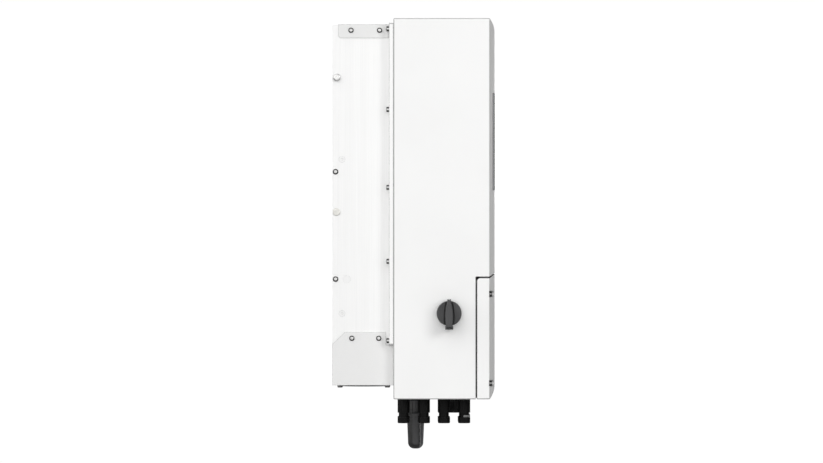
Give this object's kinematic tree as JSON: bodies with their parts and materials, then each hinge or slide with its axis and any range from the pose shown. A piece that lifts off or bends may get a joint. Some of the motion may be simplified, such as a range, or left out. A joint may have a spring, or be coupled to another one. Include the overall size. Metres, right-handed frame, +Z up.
{
  "type": "string inverter",
  "caption": "Wall-hung three-phase solar inverter: crowned white casing, rear fan-cooled heat sink duct, side isolator knob, sockets, glands and a plug-in stick below.",
  "frame": {"origin": "centre of the four wall bolt holes, on the wall plane; also the middle of the casing's width and height", "axes": "+Z up, +Y towards the wall, front faces -Y, +X to the right seen from the front"},
  "size_m": [0.6885, 0.2449, 0.6524],
  "materials": {
    "case_paint": "satin powder coat",
    "sink_alloy": "pressed and clear coated",
    "duct_alloy": "brushed",
    "sheet_grey": "matt powder coat",
    "zinc_steel": "zinc plated",
    "screw_steel": "stainless",
    "flush_steel": "zinc, clear",
    "cover_screw_steel": "stainless",
    "peg_steel": "stainless",
    "plug_metal": "passivated",
    "seal_rubber": "matt",
    "band_gloss": "gloss",
    "display_glass": "clear hard coat",
    "lamp_lens": "translucent",
    "circuit_board": "solder mask",
    "knob_plastic": "fine moulded texture",
    "switch_plastic": "moulded",
    "shaft_steel": "turned",
    "socket_plastic": "moulded",
    "cap_plastic": "moulded",
    "tab_plastic": "moulded",
    "nut_plastic": "moulded",
    "gland_plastic": "moulded",
    "stick_dark": "fine moulded texture",
    "stick_grey": "fine moulded texture",
    "plug_plastic": "moulded",
    "fan_plastic": "moulded",
    "guard_wire": "nickel plated",
    "inductor_can": "cast, potted",
    "capacitor_can": "satin",
    "relay_case": "moulded",
    "module_case": "moulded",
    "terminal_case": "moulded",
    "standoff_brass": "turned"
  },
  "bodies": {
    "inverter": {"front_shell": "case_paint", "heatsink": "sink_alloy", "duct_side_left": "duct_alloy", "duct_side_right": "duct_alloy", "duct_rear_cover": "duct_alloy", "top_outlet_bracket": "sheet_grey", "fan_tray": "sheet_grey", "hanger_rails": "zinc_steel", "duct_rivets": "zinc_steel", "duct_captive_nuts": "zinc_steel", "cross_braces": "zinc_steel", "earth_terminal": "zinc_steel", "shell_screws": "screw_steel", "duct_screws": "screw_steel", "fan_screws": "screw_steel", "flush_fasteners": "flush_steel", "hanging_pegs": "peg_steel", "handle_hole_plugs": "plug_metal", "base_gasket": "seal_rubber", "wiring_seal": "seal_rubber", "dc_switch_seal": "seal_rubber", "gland_seals": "seal_rubber", "partition_grommets": "seal_rubber", "display_band": "band_gloss", "display_lcd": "display_glass", "indicator_lights": "lamp_lens", "display_board": "circuit_board", "power_board": "circuit_board", "control_board": "circuit_board", "dc_switch_bezel": "switch_plastic", "dc_switch_body": "switch_plastic", "dc_sockets": "socket_plastic", "dc_dust_caps": "cap_plastic", "dust_cap_tabs": "tab_plastic", "dc_socket_nuts": "nut_plastic", "port_locknuts": "nut_plastic", "gland_bodies": "gland_plastic", "gland_dome_nuts": "gland_plastic", "breather_valve": "gland_plastic", "stick_port": "gland_plastic", "fan_frames": "fan_plastic", "fan_guards": "guard_wire", "boost_inductors": "inductor_can", "dc_link_capacitors": "capacitor_can", "output_relays": "relay_case", "power_modules": "module_case", "ac_terminal_block": "terminal_case", "surge_protectors": "terminal_case", "board_standoffs": "standoff_brass"},
    "cover": {"wiring_cover": "case_paint", "wiring_cover_screws": "cover_screw_steel"},
    "isolator_knob": {"dc_switch_knob": "knob_plastic", "dc_switch_shaft": "shaft_steel"},
    "stick": {"stick_shell_rear": "stick_dark", "stick_shell_front": "stick_grey", "stick_plug": "plug_plastic", "stick_lock_ring": "stick_dark"},
    "fan_1": {"fan_impeller_1": "fan_plastic"},
    "fan_2": {"fan_impeller_2": "fan_plastic"},
    "fan_3": {"fan_impeller_3": "fan_plastic"}
  },
  "joints": [
    {"name": "isolator_turn", "type": "hinge", "parent": "inverter", "child": "isolator_knob", "pos_m": [-0.3225, -0.1753, -0.1569], "axis": [1, 0, 0], "range_deg": [0, 90]},
    {"name": "cover_off", "type": "slide", "parent": "inverter", "child": "cover", "axis": [0, -1, 0], "range_m": [0, 0.25]},
    {"name": "stick_unplug", "type": "slide", "parent": "inverter", "child": "stick", "axis": [0, 0, -1], "range_m": [0, 0.06]},
    {"name": "fan_spin_1", "type": "hinge", "parent": "inverter", "child": "fan_1", "pos_m": [-0.22, -0.0468, -0.245], "axis": [0, 0, 1], "continuous": true},
    {"name": "fan_spin_2", "type": "hinge", "parent": "inverter", "child": "fan_2", "pos_m": [0, -0.0468, -0.245], "axis": [0, 0, 1], "continuous": true},
    {"name": "fan_spin_3", "type": "hinge", "parent": "inverter", "child": "fan_3", "pos_m": [0.22, -0.0468, -0.245], "axis": [0, 0, 1], "continuous": true}
  ]
}
